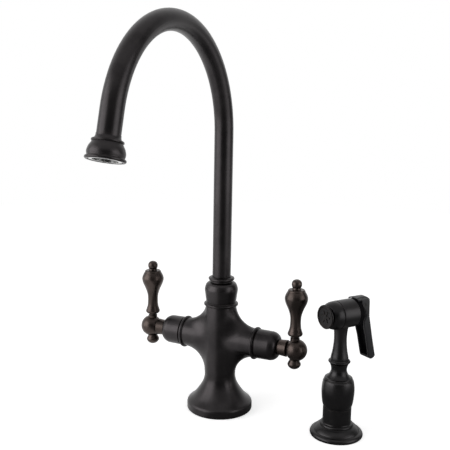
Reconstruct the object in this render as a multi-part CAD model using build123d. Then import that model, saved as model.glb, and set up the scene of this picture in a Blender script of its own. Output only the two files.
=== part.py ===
from build123d import *
import os
from math import atan2, cos, degrees, hypot, radians, sin

os.makedirs("parts", exist_ok=True)

# A deck mounted kitchen faucet with two lever handles, a gooseneck spout and a side sprayer.
# Millimetres. The origin is the centre of the faucet's foot on the deck, +Z is up,
# +X is to the user's right and the spout reaches towards -Y, where the user stands.

# ---- clearances -------------------------------------------------------------------------
RUN = 0.06          # radial clearance of a turning fit
SLIP = 0.10         # radial clearance of a sliding fit
GAP = 0.30          # open gap between pieces that move past each other
SEAT = 0.02         # gap between faces that slide on each other
THREAD = 0.05       # radial gap of a screwed joint, whose threads are left plain

# ---- faucet body ------------------------------------------------------------------------
FOOT_R = 36.2       # widest radius of the foot
FOOT_EDGE = 2.2     # height of its rounded lower edge
FOOT_RIM = 6.8      # height of the foot's upright wall
WAIST_R = 17.0
WAIST_Z = 40.0
BELLY_R = 18.6      # column radius behind the arms
ARM_Z = 81.6        # height of the arms' axis
ARM_R = 15.6
ARM_END = 41.0      # the arm's shoulder, from the column's axis
ARM_FILLET = 27.0   # hollow between column and arm
ARM_LEAD = 8.0      # spare length of arm and neck while they are blended, cut off afterwards
NECK_R = 16.7
NECK_Z = 118.3      # shoulder under the spout's collar
SPIGOT_R = 13.1     # threaded neck inside the collar
SPIGOT_TOP = 126.4
NECK_BORE_R = 9.5
NECK_BORE_Z = 104.0
CHAMBER_R = 7.5     # mixing chamber under the spout
CHAMBER_Z = 80.0

# ---- underside: gasket and connections ----------------------------------------------------
GASKET_R = 30.0
GASKET_T = 3.0
GASKET_BORE_R = 15.5
STUD_R = 4.0        # M8 mounting studs
STUD_X = 22.0
STUD_DEPTH = 10.0
HOSE_R = 5.0        # M10 x 1 hose sockets
HOSE_DEPTH = 12.0
HOSE_X = 7.6
HOSE_Y = -3.0
SPRAY_Y = 9.0
WATERWAY_R = 2.6

# ---- valve in each arm, measured outwards from the column's axis ---------------------------
VALVE_R = 11.5      # cavity that holds the cartridge
VALVE_FLOOR = 26.0
ARM_SPIGOT_R = 12.9
ARM_SPIGOT_END = 50.0
RING_R = 17.6       # bead between arm and bonnet
RING_T = 3.9
BONNET_R = 15.8
BONNET_END = 69.0
BONNET_NOSE = 8.0   # length of its rounded end
BONNET_NOSE_R = 9.4
DISC_R = 9.4
DISC_T = 3.0
SEAL_T = 2.6
PORT_Y = 3.0
PORT_Z = 5.5
STEM_R = 3.94
STEM_END = 82.0
DRIVER_T = 3.6      # stem's plate that turns the moving disc
CLAMP_T = 2.4       # cartridge flange on the arm's end
CARTRIDGE_NECK_R = 8.3
CARTRIDGE_NOSE_R = 6.0
NECK_END = 61.5
O_RING_PLACES = (47.0, 56.0)
SEAL_TOP = VALVE_FLOOR + SEAL_T
FIXED_TOP = SEAL_TOP + DISC_T
MOVING_TOP = FIXED_TOP + SEAT + DISC_T
DRIVER_LOW = MOVING_TOP + SEAT
DRIVER_TOP = DRIVER_LOW + DRIVER_T
CLAMP_TOP = ARM_SPIGOT_END + CLAMP_T

# ---- handles ------------------------------------------------------------------------------
HUB_X = 87.0        # lever's axis
BALL_X = 88.8       # centre of the hub's ball
BALL_R = 11.7
SLEEVE_R = 9.0      # hub's sleeve at its groove before the ball
SLEEVE_END = 79.0
SLEEVE_SLIM_R = 8.3 # at the bonnet
HUB_GROOVE_R = 6.4
BOSS_R = 4.9
BOSS_TOP = 13.2     # above the arm's axis
LEVER_FOOT = 15.6   # lower edge of the lever's flared foot
LEVER_NECK_R = 3.9  # between the boss and the foot
LEVER_TOP = 65.7    # above the arm's axis
LEVER_R = 12.25     # widest radius of the lever
FINIAL_R = 5.45
FINIAL_TOP = 76.4
DROP_R = 7.1        # flattened ball under the hub
DROP_H = 5.3
DROP_Z = -15.6
STUD_SCREW_R = 2.5
FINIAL_SCREW_R = 1.9
SLEEVE_LOW = BONNET_END + GAP + 0.1
SCREW_X = SLEEVE_LOW + 4.0
SCREW_R = 2.0       # grub screw
SOCKET_ACROSS_R = 1.0

# ---- spout --------------------------------------------------------------------------------
TUBE_R = 10.0       # 20 mm tube
TUBE_WALL = 1.2
ARCH_R = 105.1
ARCH_Z = 305.9      # height where the riser ends and the arch begins
TIP_TILT = 14.5     # degrees that the tip leans outwards
TIP_LENGTH = 24.5   # straight tube between the arch and the outlet's bead
ADAPTER_FLANGE_R = 12.2
ADAPTER_FLANGE_T = 2.8
ADAPTER_BORE_R = 5.5
NIPPLE_LENGTH = 15.0
BUSH_T = 3.0
SLIP_T = 1.2        # washer under the adapter's flange
RING_HEIGHTS = (110.0, 117.0)
FLANGE_LOW = SPIGOT_TOP + SLIP_T + SEAT
FLANGE_TOP = FLANGE_LOW + ADAPTER_FLANGE_T
BUSH_TOP = FLANGE_TOP + SEAT + BUSH_T
ADAPTER_LOW = NECK_BORE_Z + GAP
COLLAR_TOP = 150.6
COLLAR_R = 18.15
COLLAR_GROOVE_R = 12.1
BELL_R = 15.85
LIP_R = 16.9
BEAD_R = 13.4       # thin bead at the bell's top
BELL_LENGTH = 17.0
BELL_SLEEVE = 4.2   # slim sleeve above the bead, flared into it
SOCKET = BELL_LENGTH - 9.0
AERATOR_R = 14.1    # ring inside the lip
AERATOR_THREAD_R = 12.4
AERATOR_BORE_R = 10.7
AERATOR_TOP = -BELL_LENGTH + 6.6
AERATOR_SHOULDER = AERATOR_TOP + 1.4
SCREEN_HOLE_R = 0.85

# ---- sprayer: holder, grip and head ---------------------------------------------------------
SPRAY_X = 137.1     # sprayer's axis, from the column's axis
SPRAY_AXIS_Y = -4.0
SPRAY_TURN = -33.0  # degrees that the sprayer is turned in its holder
HOLDER_R = 14.65
HOLDER_TOP = 30.0
FLANGE_R = 27.4
HOLDER_BORE_R = 12.2
HOLDER_GASKET_R = 25.0
HOLDER_GASKET_T = 1.5
LINER_T = 1.1
LINER_LOW = 8.0     # the bore below is left for the holder's shank
GRIP_R = 16.85
GRIP_TOP = 77.2
TAIL_END = 16.0
TAIL_R = HOLDER_BORE_R - LINER_T - SLIP
SHOULDER_Z = HOLDER_TOP + THREAD
COUPLING_SOCKET_R = 7.05
SOCKET_TOP = 25.5
HOSE_THREAD = 9.0
WASHER_T = 1.3
STUB_R = 5.4        # neck's threaded stub in the grip
STUB_LOW = 69.0
WATER_R = 3.2
FERRULE_R = 11.3
FERRULE_TOP = 81.4
NECK_TUBE_R = 6.6
HEAD_Z = 129.1      # height of the head's axis
HEAD_R = 14.5
RING_FRONT_R = 13.6 # nozzle ring where its rounded nose begins
RING_NOSE = 4.2     # length of that nose
HEAD_BACK = -13.2   # along the head's axis, forwards of the grip's axis
HEAD_FRONT = 6.6
NOZZLE_FRONT = 18.2
FACE_FRONT = 22.0
FACE_R = 12.2
CAP_BACK = -19.3
PIN_BACK = -24.0
PIN_Z = HEAD_Z + 7.8
PIN_R = 1.25
PLUNGER_R = 1.6
LEVER_HALF = 7.75   # half width of the trigger at the head
LEVER_TIP_HALF = 6.8
TRIGGER_WALL = 1.65
TRIGGER_REACH = 42.2    # from the grip's axis back to the trigger's tip
TRIGGER_DROP = 51.9     # from the head's axis down to the tip
WEB_BACK = 30.6         # outer face of the trigger's web behind the head
PLUNGER_BACK = -WEB_BACK + TRIGGER_WALL + 0.25
CAP_CLEAR = 0.5         # between the cap and the trigger's sides
CHAMBER_BORE_R = 8.0
SEAT_BACK = 3.8
SEAT_FRONT = 5.2
SEAL_FRONT = SEAT_FRONT + 0.75
NOZZLE_SPIGOT_R = 11.5
NOZZLE_SPIGOT_END = 10.5
NOZZLE_BORE_R = 9.5
STAR_BARS = 3
STAR_LENGTH = 13.0
STAR_WIDTH = 1.7
STAR_RISE = 1.4     # depth of the star's bars, half of it above the face
FACE_GAP = 1.8      # groove behind the face's rim
JET_R = 0.38        # spray holes
SPRING_STOP = -4.5
PLUNGER_STROKE = 1.7
PLATE_R = 4.6       # valve plate at the plunger's front
SPRING_WIRE = 0.35

# ---- diverter ---------------------------------------------------------------------------------
HOUSING_LOW = 90.0
HOUSING_TOP = 103.6
HOUSING_LIP_R = 3.0
PISTON_R = 4.9
PISTON_LOW = HOUSING_LOW + 1.6
PISTON_HEAD_T = 3.0

THROUGH = 60.0      # length of a bar that cuts right through


# ---- helpers --------------------------------------------------------------------------------
def stretch(points):
    """Two points give a straight edge, three an arc, more a smooth curve."""
    if len(points) == 2:
        return Line(*points)
    if len(points) == 3:
        return ThreePointArc(*points)
    return Spline(*points)


def outline(*stretches):
    """Closed face from stretches of points, with straight lines across the gaps."""
    edges = []
    last = stretches[-1][-1]
    for points in stretches:
        if hypot(last[0] - points[0][0], last[1] - points[0][1]) > 1e-6:
            edges.append(Line(last, points[0]))
        if len(points) > 1:
            edges.append(stretch(points))
        last = points[-1]
    return make_face(edges)


def turned(*stretches):
    """Body turned about Z from stretches of (radius, height) points."""
    return revolve(Plane.XZ * outline(*stretches), Axis.Z)


def rod(radius, low, high):
    """Round bar about Z between two heights."""
    return Pos(0, 0, (low + high) / 2) * Cylinder(radius, high - low)


def ring(inner, outer, low, high):
    """Plain ring about Z."""
    return rod(outer, low, high) - rod(inner, low - 1, high + 1)


def torus(radius, section, height):
    """O-ring about Z."""
    return Pos(0, 0, height) * Torus(radius, section)


def coil(radius, wire, low, high, turns):
    """Helical spring about Z whose wire stays between two heights."""
    path = Pos(0, 0, low + wire) * Helix((high - low - 2 * wire) / turns, high - low - 2 * wire, radius)
    return sweep((path ^ 0) * Circle(wire), path=path)


def save(name, shape):
    """Write one node."""
    export_step(shape, f"parts/{name}.step")


def on_arm(side, shape):
    """Lay a piece that was built about Z along an arm, its top outwards."""
    return Pos(0, 0, ARM_Z) * Rot(0, 90 * side, 0) * shape


def x_hole(side, y, z, radius, start, end):
    """Bar along an arm at the given height, between two distances from the column."""
    return Pos(side * (start + end) / 2, y, z) * Rot(0, 90, 0) * Cylinder(radius, abs(end - start))


def on_lever(side, shape):
    """Stand a piece that was built about Z on the lever's axis, its zero at the arm's axis."""
    return Pos(side * HUB_X, 0, ARM_Z) * shape


def on_tip(shape):
    """Hang a piece on the spout's tip: zero is the top of the outlet's bead."""
    tilt = radians(TIP_TILT)
    y = -ARCH_R * (1 + cos(tilt)) - TIP_LENGTH * sin(tilt)
    z = ARCH_Z + ARCH_R * sin(tilt) - TIP_LENGTH * cos(tilt)
    return Pos(0, y, z) * Rot(-TIP_TILT, 0, 0) * shape


def on_sprayer(shape):
    """Place a piece of the hand sprayer, built about Z with its nozzle towards -Y."""
    return Pos(SPRAY_X, SPRAY_AXIS_Y, 0) * Rot(0, 0, SPRAY_TURN) * shape


def on_head(shape):
    """Lay a piece that was built about Z along the head, its top towards the nozzle."""
    return on_sprayer(Pos(0, 0, HEAD_Z) * Rot(90, 0, 0) * shape)


# ---- faucet body ------------------------------------------------------------------------------
def body_column():
    """Foot, flare, belly behind the arms and neck as one turned shape, its seam at the back."""
    flare = FOOT_R - WAIST_R
    rise = WAIST_Z - FOOT_RIM
    swell = BELLY_R - WAIST_R
    slope = [(0.960, 0.075), (0.815, 0.15), (0.668, 0.225), (0.507, 0.335), (0.358, 0.455),
             (0.218, 0.58), (0.108, 0.70), (0.026, 0.85)]
    side = [(FOOT_R, FOOT_RIM)]
    side += [(WAIST_R + flare * r, FOOT_RIM + rise * z) for r, z in slope]
    side += [(WAIST_R, WAIST_Z)]
    half = (NECK_Z - WAIST_Z) / 2
    belly = [(WAIST_R, WAIST_Z), (WAIST_R + 0.62 * swell, WAIST_Z + 0.4 * half), (BELLY_R, WAIST_Z + half),
             (WAIST_R + 0.62 * swell, NECK_Z - 0.4 * half), (NECK_R, NECK_Z)]
    edge = [(FOOT_R - 1.5, 0), (FOOT_R - 0.4, 0.7), (FOOT_R, FOOT_EDGE)]
    lead = NECK_Z + ARM_LEAD
    return Rot(0, 0, 90) * turned([(0, 0), (FOOT_R - 1.5, 0)], edge, side, belly,
                                  [(NECK_R, lead)], [(0, lead)])


def body_cross():
    """Column and arms blended into each other."""
    arms = Pos(0, 0, ARM_Z) * Rot(0, 90, 0) * Rot(0, 0, 90) * Cylinder(ARM_R, 2 * (ARM_END + ARM_LEAD))
    cross = body_column() + arms
    joints = [e for e in cross.edges().filter_by(GeomType.BSPLINE)
              if 3 < abs(e.center().X) < ARM_END - 2 and abs(e.center().Z - ARM_Z) < ARM_R + 1]
    cross = fillet(joints, ARM_FILLET)
    return cross & Pos(0, 0, NECK_Z / 2) * Box(2 * ARM_END, 3 * FOOT_R, NECK_Z)


def faucet_body():
    """Cast body with its sockets, waterways, valve cavities and threaded spigots."""
    body = body_cross() + rod(SPIGOT_R, NECK_Z - 1, SPIGOT_TOP)
    body -= rod(NECK_BORE_R, NECK_BORE_Z, SPIGOT_TOP + 1)
    body -= rod(CHAMBER_R, CHAMBER_Z, NECK_BORE_Z + 1)
    body -= rod(GASKET_R + SLIP, -1, GASKET_T)
    spray_top = CHAMBER_Z + 4
    body -= Pos(0, SPRAY_Y, 0) * rod(WATERWAY_R, 0, spray_top)
    body -= Pos(0, SPRAY_Y, 0) * rod(HOSE_R, 0, GASKET_T + HOSE_DEPTH)
    for side in (-1, 1):
        body += on_arm(side, rod(ARM_SPIGOT_R, ARM_END - 1, ARM_SPIGOT_END))
        body -= on_arm(side, rod(VALVE_R, VALVE_FLOOR, ARM_SPIGOT_END + 1))
        body -= x_hole(side, PORT_Y, ARM_Z + PORT_Z, WATERWAY_R, 0, VALVE_FLOOR + 1)
        body -= x_hole(side, -PORT_Y, ARM_Z - PORT_Z, WATERWAY_R, HOSE_X, VALVE_FLOOR + 1)
        body -= Pos(side * HOSE_X, HOSE_Y, 0) * rod(WATERWAY_R, 0, ARM_Z - PORT_Z)
        body -= Pos(side * HOSE_X, HOSE_Y, 0) * rod(HOSE_R, 0, GASKET_T + HOSE_DEPTH)
        body -= Pos(side * STUD_X, 0, 0) * rod(STUD_R, 0, GASKET_T + STUD_DEPTH)
    return body


def base_gasket():
    """Rubber ring in the foot's recess: the hoses pass its middle, the studs its two holes."""
    disc = ring(GASKET_BORE_R, GASKET_R, 0, GASKET_T)
    for side in (-1, 1):
        disc -= Pos(side * STUD_X, 0, 0) * rod(STUD_R + 1, -1, GASKET_T + 1)
    return disc


# ---- valve in each arm -------------------------------------------------------------------------
def arm_ring():
    """Bead between the arm's shoulder and the bonnet."""
    low, high = ARM_END, ARM_END + RING_T
    inner = ARM_SPIGOT_R + THREAD
    return turned([(inner, low), (ARM_R, low)],
                  [(ARM_R, low), (RING_R, low + 0.45 * RING_T), (ARM_R, high - 0.5)],
                  [(ARM_R - 1.0, high), (inner, high)])


def bonnet():
    """Smooth cap that clamps the cartridge, with a rounded outer end."""
    low = ARM_END + RING_T
    round_start = BONNET_END - BONNET_NOSE
    fall = BONNET_R - 0.25 - BONNET_NOSE_R
    nose = [(BONNET_R - 0.25 - fall * r, round_start + BONNET_NOSE * z)
            for r, z in ((0, 0), (0.10, 0.35), (0.31, 0.66), (0.60, 0.88), (1, 1))]
    bore = ARM_SPIGOT_R + THREAD
    hole = CARTRIDGE_NOSE_R + THREAD
    return turned([(bore, low), (BONNET_R - 1.0, low)], [(BONNET_R - 1.0, low), (BONNET_R - 1.0, low + 0.6)],
                  [(BONNET_R, low + 1.4), (BONNET_R - 0.25, round_start)], nose,
                  [(hole, BONNET_END), (hole, NECK_END + THREAD)],
                  [(CARTRIDGE_NECK_R + THREAD, NECK_END + THREAD), (CARTRIDGE_NECK_R + THREAD, CLAMP_TOP)],
                  [(bore, CLAMP_TOP), (bore, low)])


def cartridge():
    """Brass cartridge shell: skirt around the discs, clamped flange and guide for the stem."""
    skirt = VALVE_R - THREAD
    inside = DISC_R + SLIP
    guide = STEM_R + RUN
    nose = CARTRIDGE_NOSE_R
    return turned([(inside, SEAL_TOP), (skirt, SEAL_TOP)], [(skirt, SEAL_TOP), (skirt, ARM_SPIGOT_END)],
                  [(ARM_SPIGOT_R - 0.2, ARM_SPIGOT_END), (ARM_SPIGOT_R - 0.2, CLAMP_TOP)],
                  [(CARTRIDGE_NECK_R, CLAMP_TOP), (CARTRIDGE_NECK_R, NECK_END)],
                  [(nose, NECK_END), (nose, BONNET_END - 0.4)],
                  [(guide, BONNET_END - 0.4), (guide, DRIVER_TOP + SLIP)],
                  [(inside, DRIVER_TOP + SLIP), (inside, SEAL_TOP)])


def ports(side, low, high):
    """The two round waterways through a disc or seal, as bars to cut with."""
    inlet = x_hole(side, -PORT_Y, ARM_Z - PORT_Z, WATERWAY_R, low - 1, high + 1)
    outlet = x_hole(side, PORT_Y, ARM_Z + PORT_Z, WATERWAY_R, low - 1, high + 1)
    return inlet + outlet


def moving_disc(side):
    """Ceramic disc whose hollow joins the two ports when it is turned."""
    disc = on_arm(side, rod(DISC_R, FIXED_TOP + SEAT, MOVING_TOP))
    low, high = FIXED_TOP, FIXED_TOP + DISC_T - 1.0
    hollow = x_hole(side, -PORT_Z, ARM_Z + PORT_Y, WATERWAY_R, low, high)
    hollow += x_hole(side, PORT_Z, ARM_Z - PORT_Y, WATERWAY_R, low, high)
    reach = hypot(PORT_Y, PORT_Z)
    slot = Box(high - low, 2 * reach, 2 * WATERWAY_R)
    tilt = Rot(-degrees(atan2(PORT_Y, PORT_Z)), 0, 0)
    hollow += Pos(side * (low + high) / 2, 0, ARM_Z) * tilt * slot
    return disc - hollow


def stem():
    """Stem with the driver plate, two O-ring grooves and the end that carries the hub."""
    groove = STEM_R - 1.3
    shaft = turned([(0, DRIVER_LOW), (DISC_R, DRIVER_LOW)], [(DISC_R, DRIVER_LOW), (DISC_R, DRIVER_TOP)],
                   [(STEM_R, DRIVER_TOP), (STEM_R, STEM_END - 0.6)],
                   [(STEM_R - 0.6, STEM_END), (0, STEM_END)])
    for middle in O_RING_PLACES:
        shaft -= ring(groove, STEM_R + 1, middle - 1.0, middle + 1.0)
    return shaft


def stem_orings():
    """The two O-rings, as a group."""
    section = 0.62
    return Compound([torus(STEM_R - section, section, middle) for middle in O_RING_PLACES])


def arm_pieces(side, name):
    """All pieces of one arm that stay still, and the ones that the handle turns."""
    save(f"arm_ring_{name}", on_arm(side, arm_ring()))
    save(f"bonnet_{name}", on_arm(side, bonnet()))
    save(f"cartridge_{name}", on_arm(side, cartridge()))
    seal = on_arm(side, rod(DISC_R, VALVE_FLOOR, SEAL_TOP)) - ports(side, VALVE_FLOOR, SEAL_TOP)
    save(f"seat_seal_{name}", seal)
    fixed = on_arm(side, rod(DISC_R, SEAL_TOP, FIXED_TOP)) - ports(side, SEAL_TOP, FIXED_TOP)
    save(f"fixed_disc_{name}", fixed)
    save(f"moving_disc_{name}", moving_disc(side))
    save(f"stem_{name}", on_arm(side, stem()))
    save(f"stem_orings_{name}", on_arm(side, stem_orings()))


# ---- handles -----------------------------------------------------------------------------------
def hub(side):
    """Ball with a short sleeve that widens to a groove in front of the ball."""
    sleeve = turned([(0, SLEEVE_LOW), (SLEEVE_SLIM_R - 0.4, SLEEVE_LOW)],
                    [(SLEEVE_SLIM_R, SLEEVE_LOW + 0.4), (SLEEVE_R, SLEEVE_END - 0.4)],
                    [(SLEEVE_R - 0.4, SLEEVE_END), (HUB_GROOVE_R, SLEEVE_END)],
                    [(HUB_GROOVE_R, BALL_X), (0, BALL_X)])
    shape = on_arm(side, sleeve + Pos(0, 0, BALL_X) * Sphere(BALL_R))
    shape += on_lever(side, rod(BOSS_R, 5, BOSS_TOP))
    shape -= on_arm(side, rod(STEM_R + THREAD, SLEEVE_LOW - 1, STEM_END + 0.2))
    shape -= on_lever(side, rod(STUD_SCREW_R + THREAD, STEM_R + 1, BOSS_TOP + 1))
    shape -= on_lever(side, rod(STUD_SCREW_R + THREAD, DROP_Z, -STEM_R - 1))
    shape -= Pos(side * SCREW_X, 0, ARM_Z) * rod(SCREW_R + THREAD, -SLEEVE_R - 1, 0)
    return shape


def set_screw(side):
    """Grub screw from below, with a hexagon socket."""
    low, high = -SLEEVE_SLIM_R + 0.3, -STEM_R - THREAD
    screw = rod(SCREW_R, low, high) - extrude(Pos(0, 0, low) * RegularPolygon(SOCKET_ACROSS_R, 6), 2.0)
    return Pos(side * SCREW_X, 0, ARM_Z) * screw


def lever():
    """Baluster lever: flared foot, slim shaft, full bulb and small top ledge."""
    span = LEVER_TOP - LEVER_FOOT
    low = BOSS_TOP
    neck = LEVER_NECK_R
    shape = [(0.641, 0.059), (0.588, 0.096), (0.504, 0.165), (0.469, 0.244), (0.461, 0.323), (0.486, 0.421),
             (0.616, 0.539), (0.712, 0.598), (0.824, 0.657), (0.902, 0.701), (0.959, 0.744), (1.0, 0.815),
             (0.939, 0.876), (0.849, 0.921), (0.751, 0.961)]
    side = [(LEVER_R * r, LEVER_FOOT + span * t) for r, t in shape]
    heel = [(LEVER_R * 0.53, LEVER_FOOT), (LEVER_R * 0.615, LEVER_FOOT + span * 0.018), side[0]]
    ledge = [side[-1], (LEVER_R * 0.727, LEVER_FOOT + span * 0.984), (LEVER_R * 0.64, LEVER_TOP)]
    body = turned([(0, low), (neck, low)], [(neck, low), (neck, LEVER_FOOT)], heel, side, ledge,
                  [(0, LEVER_TOP)])
    body += rod(STUD_SCREW_R, STEM_R + 1.2, low + 1)
    body -= rod(FINIAL_SCREW_R + THREAD, LEVER_TOP - 7, LEVER_TOP + 1)
    return body


def lever_finial():
    """Small ball on a short neck, with its screw down into the lever."""
    base = LEVER_TOP
    neck = FINIAL_R * 0.80
    middle = FINIAL_TOP - FINIAL_R * 0.9
    ball = [(neck, base + 2.0), (FINIAL_R * 0.93, middle - FINIAL_R * 0.45), (FINIAL_R, middle),
            (FINIAL_R * 0.80, middle + FINIAL_R * 0.58), (FINIAL_R * 0.42, FINIAL_TOP - 0.35),
            (0, FINIAL_TOP)]
    body = turned([(0, base), (neck + 0.3, base)], [(neck + 0.3, base), (neck, base + 2.0)], ball)
    return body + rod(FINIAL_SCREW_R, base - 6, base + 1)


def hub_finial():
    """Flattened ball under the hub, with its screw up into it."""
    neck = DROP_R * 0.72
    root = -BALL_R + 1.2
    ball = [(0, DROP_Z - DROP_H), (DROP_R * 0.62, DROP_Z - DROP_H * 0.82), (DROP_R, DROP_Z),
            (DROP_R * 0.80, DROP_Z + DROP_H * 0.62), (neck, DROP_Z + DROP_H * 0.88)]
    body = turned(ball, [(neck, root), (0, root)])
    body -= Pos(BALL_X - HUB_X, 0, 0) * Sphere(BALL_R + 0.01)
    return body + rod(STUD_SCREW_R, DROP_Z, -STEM_R - 1.2)


def handle_pieces(side, name):
    """Hub, lever and finials of one handle."""
    save(f"hub_{name}", hub(side))
    save(f"set_screw_{name}", set_screw(side))
    save(f"lever_{name}", on_lever(side, lever()))
    save(f"lever_finial_{name}", on_lever(side, lever_finial()))
    finial = Pos(side * HUB_X, 0, ARM_Z) * (Rot(0, 0, 0 if side > 0 else 180) * hub_finial())
    save(f"hub_finial_{name}", finial)


# ---- diverter ----------------------------------------------------------------------------------
def diverter_housing():
    """Cage that guides the piston in the mixing chamber."""
    outer = CHAMBER_R - THREAD
    inner = PISTON_R + SLIP
    cage = ring(inner, outer, HOUSING_LOW, HOUSING_TOP)
    cage += ring(HOUSING_LIP_R, inner + 0.5, HOUSING_LOW, PISTON_LOW - 0.1)
    cage += ring(HOUSING_LIP_R, inner + 0.5, HOUSING_TOP - 1.6, HOUSING_TOP)
    return cage


def diverter_piston():
    """Piston with its stem; it lifts when the sprayer closes."""
    head_top = PISTON_LOW + PISTON_HEAD_T
    return rod(PISTON_R, PISTON_LOW, head_top) + rod(1.6, head_top - 0.5, HOUSING_TOP - 2.1)


def diverter_spring():
    """Return spring between the piston and the cage."""
    return coil(3.6, SPRING_WIRE, PISTON_LOW + PISTON_HEAD_T + 0.05, HOUSING_TOP - 1.65, 5)


# ---- spout swivel ------------------------------------------------------------------------------
def slip_washer():
    """Plastic washer under the adapter's flange."""
    return ring(NECK_BORE_R + 0.2, ADAPTER_FLANGE_R + 0.1, SPIGOT_TOP, SPIGOT_TOP + SLIP_T)


def friction_bushing():
    """Plastic ring that holds the spout down and lets it turn stiffly."""
    return ring(TUBE_R + SLIP, ADAPTER_FLANGE_R + 0.1, FLANGE_TOP + SEAT, BUSH_TOP)


def spout_adapter():
    """Brass end of the spout: plug in the neck's bore, flange and nipple inside the tube."""
    plug = NECK_BORE_R - RUN
    nipple = TUBE_R - TUBE_WALL
    nipple_top = FLANGE_TOP + NIPPLE_LENGTH
    shape = turned([(ADAPTER_BORE_R, ADAPTER_LOW), (plug, ADAPTER_LOW)],
                   [(plug, ADAPTER_LOW), (plug, FLANGE_LOW)],
                   [(ADAPTER_FLANGE_R, FLANGE_LOW), (ADAPTER_FLANGE_R, FLANGE_TOP)],
                   [(nipple, FLANGE_TOP), (nipple, nipple_top)], [(ADAPTER_BORE_R, nipple_top)])
    for height in RING_HEIGHTS:
        shape -= ring(plug - 2.1, plug + 1, height - 1.3, height + 1.3)
    return shape


def spout_orings():
    """The two O-rings that seal the spout, as a group."""
    section = 1.05
    radius = NECK_BORE_R - 0.02 - section
    return Compound([torus(radius, section, height) for height in RING_HEIGHTS])


def spout_collar():
    """Dome nut with a ring bead at its foot and a small bead at its top."""
    low, top = NECK_Z, COLLAR_TOP
    span = top - low
    bore = SPIGOT_R + THREAD
    wide = ADAPTER_FLANGE_R + 0.2
    hole = TUBE_R + RUN
    foot_bead = [(NECK_R + 0.3, low + 0.3), (NECK_R + 2.1, low + 1.8), (NECK_R + 0.1, low + 3.4)]
    dome_points = [(0.893, 0.128), (0.914, 0.189), (0.941, 0.294), (0.961, 0.384), (0.987, 0.483),
                   (1.0, 0.579), (0.963, 0.672), (0.911, 0.743), (0.82, 0.796)]
    dome = [(COLLAR_R * r, low + span * t) for r, t in dome_points]
    groove = COLLAR_GROOVE_R
    top_bead = [(groove + 0.6, top - 3.6), (groove + 2.1, top - 2.1), (groove + 0.5, top - 0.5)]
    return turned([(bore, low), (NECK_R, low)], [(NECK_R, low), foot_bead[0]], foot_bead, dome,
                  [(groove, low + span * 0.836), (groove, top - 3.6)], top_bead,
                  [(groove - 0.7, top), (hole, top)],
                  [(hole, BUSH_TOP + SEAT), (wide, BUSH_TOP + SEAT)],
                  [(wide, SPIGOT_TOP + GAP), (bore, SPIGOT_TOP + GAP)])


# ---- spout -------------------------------------------------------------------------------------
def spout_tube():
    """Riser, arch and straight tip in one bent tube."""
    tilt = radians(TIP_TILT)
    arch_end = (0, -ARCH_R * (1 + cos(tilt)), ARCH_Z + ARCH_R * sin(tilt))
    middle = (0, -ARCH_R, ARCH_Z + ARCH_R)
    down = TIP_LENGTH + SOCKET - 0.1
    tip = (0, arch_end[1] - down * sin(tilt), arch_end[2] - down * cos(tilt))
    start = FLANGE_TOP
    riser = Line((0, 0, start), (0, 0, ARCH_Z))
    arch = ThreePointArc((0, 0, ARCH_Z), middle, arch_end)
    straight = Line(arch_end, tip)
    path = Wire([riser, arch, straight])
    section = Plane((0, 0, start)) * (Circle(TUBE_R) - Circle(TUBE_R - TUBE_WALL))
    return sweep(section, path=path)


def outlet_bell():
    """Bell at the tip: thin bead, bulb, groove and lip, with a socket and an aerator thread."""
    end = -BELL_LENGTH
    socket = TUBE_R + THREAD
    sleeve = [(socket + 0.25, BELL_SLEEVE), (socket + 0.5, 0.45 * BELL_SLEEVE), (socket + 1.5, 0)]
    bead = [(BEAD_R - 1.8, 0.016 * end), (BEAD_R, 0.080 * end), (BEAD_R - 0.8, 0.141 * end)]
    shape = [(0.795, 0.141), (0.867, 0.265), (0.930, 0.371), (0.968, 0.471), (0.992, 0.559), (1.0, 0.635),
             (0.988, 0.718), (0.965, 0.80)]
    bulb = [(BELL_R * r, end * t) for r, t in shape]
    lip = [(BELL_R * 0.972, 0.835 * end), (LIP_R, 0.918 * end), (LIP_R - 0.9, end)]
    thread = AERATOR_THREAD_R + THREAD
    waterway = TUBE_R - TUBE_WALL
    return turned([(socket, BELL_SLEEVE), sleeve[0]], sleeve, bead, bulb, lip,
                  [(AERATOR_R + THREAD, end), (AERATOR_R + THREAD, end + 2.4)],
                  [(thread, end + 2.4), (thread, AERATOR_SHOULDER)],
                  [(waterway, AERATOR_SHOULDER), (waterway, -SOCKET)],
                  [(socket, -SOCKET), (socket, BELL_SLEEVE)])


def aerator_housing():
    """Steel ring that screws into the bell; its rim shows inside the lip."""
    end = -BELL_LENGTH + 0.3
    ledge = -BELL_LENGTH + 2.35
    top = AERATOR_TOP
    return turned([(AERATOR_BORE_R, end), (AERATOR_R - 0.6, end)],
                  [(AERATOR_R, end + 0.6), (AERATOR_R, ledge)],
                  [(AERATOR_THREAD_R, ledge), (AERATOR_THREAD_R, top)], [(AERATOR_BORE_R, top)])


def hole_circle(plate, radius, count, size):
    """Cut a circle of holes through a plate about Z."""
    for spot in PolarLocations(radius, count):
        plate -= spot * Cylinder(size, THROUGH)
    return plate


def aerator_screen():
    """Perforated screen near the mouth."""
    plate = rod(AERATOR_BORE_R - 0.02, -BELL_LENGTH + 2.0, -BELL_LENGTH + 2.8)
    plate = hole_circle(plate, 8.6, 20, SCREEN_HOLE_R)
    plate = hole_circle(plate, 5.8, 13, SCREEN_HOLE_R)
    plate = hole_circle(plate, 3.0, 6, SCREEN_HOLE_R)
    return plate - rod(SCREEN_HOLE_R, -BELL_LENGTH, 0)


def flow_disc():
    """Plastic insert that splits the water into jets."""
    plate = rod(AERATOR_BORE_R - 0.02, AERATOR_TOP - 2.0, AERATOR_TOP)
    plate = hole_circle(plate, 7.4, 12, 1.0)
    return hole_circle(plate, 3.8, 6, 1.0)


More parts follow.
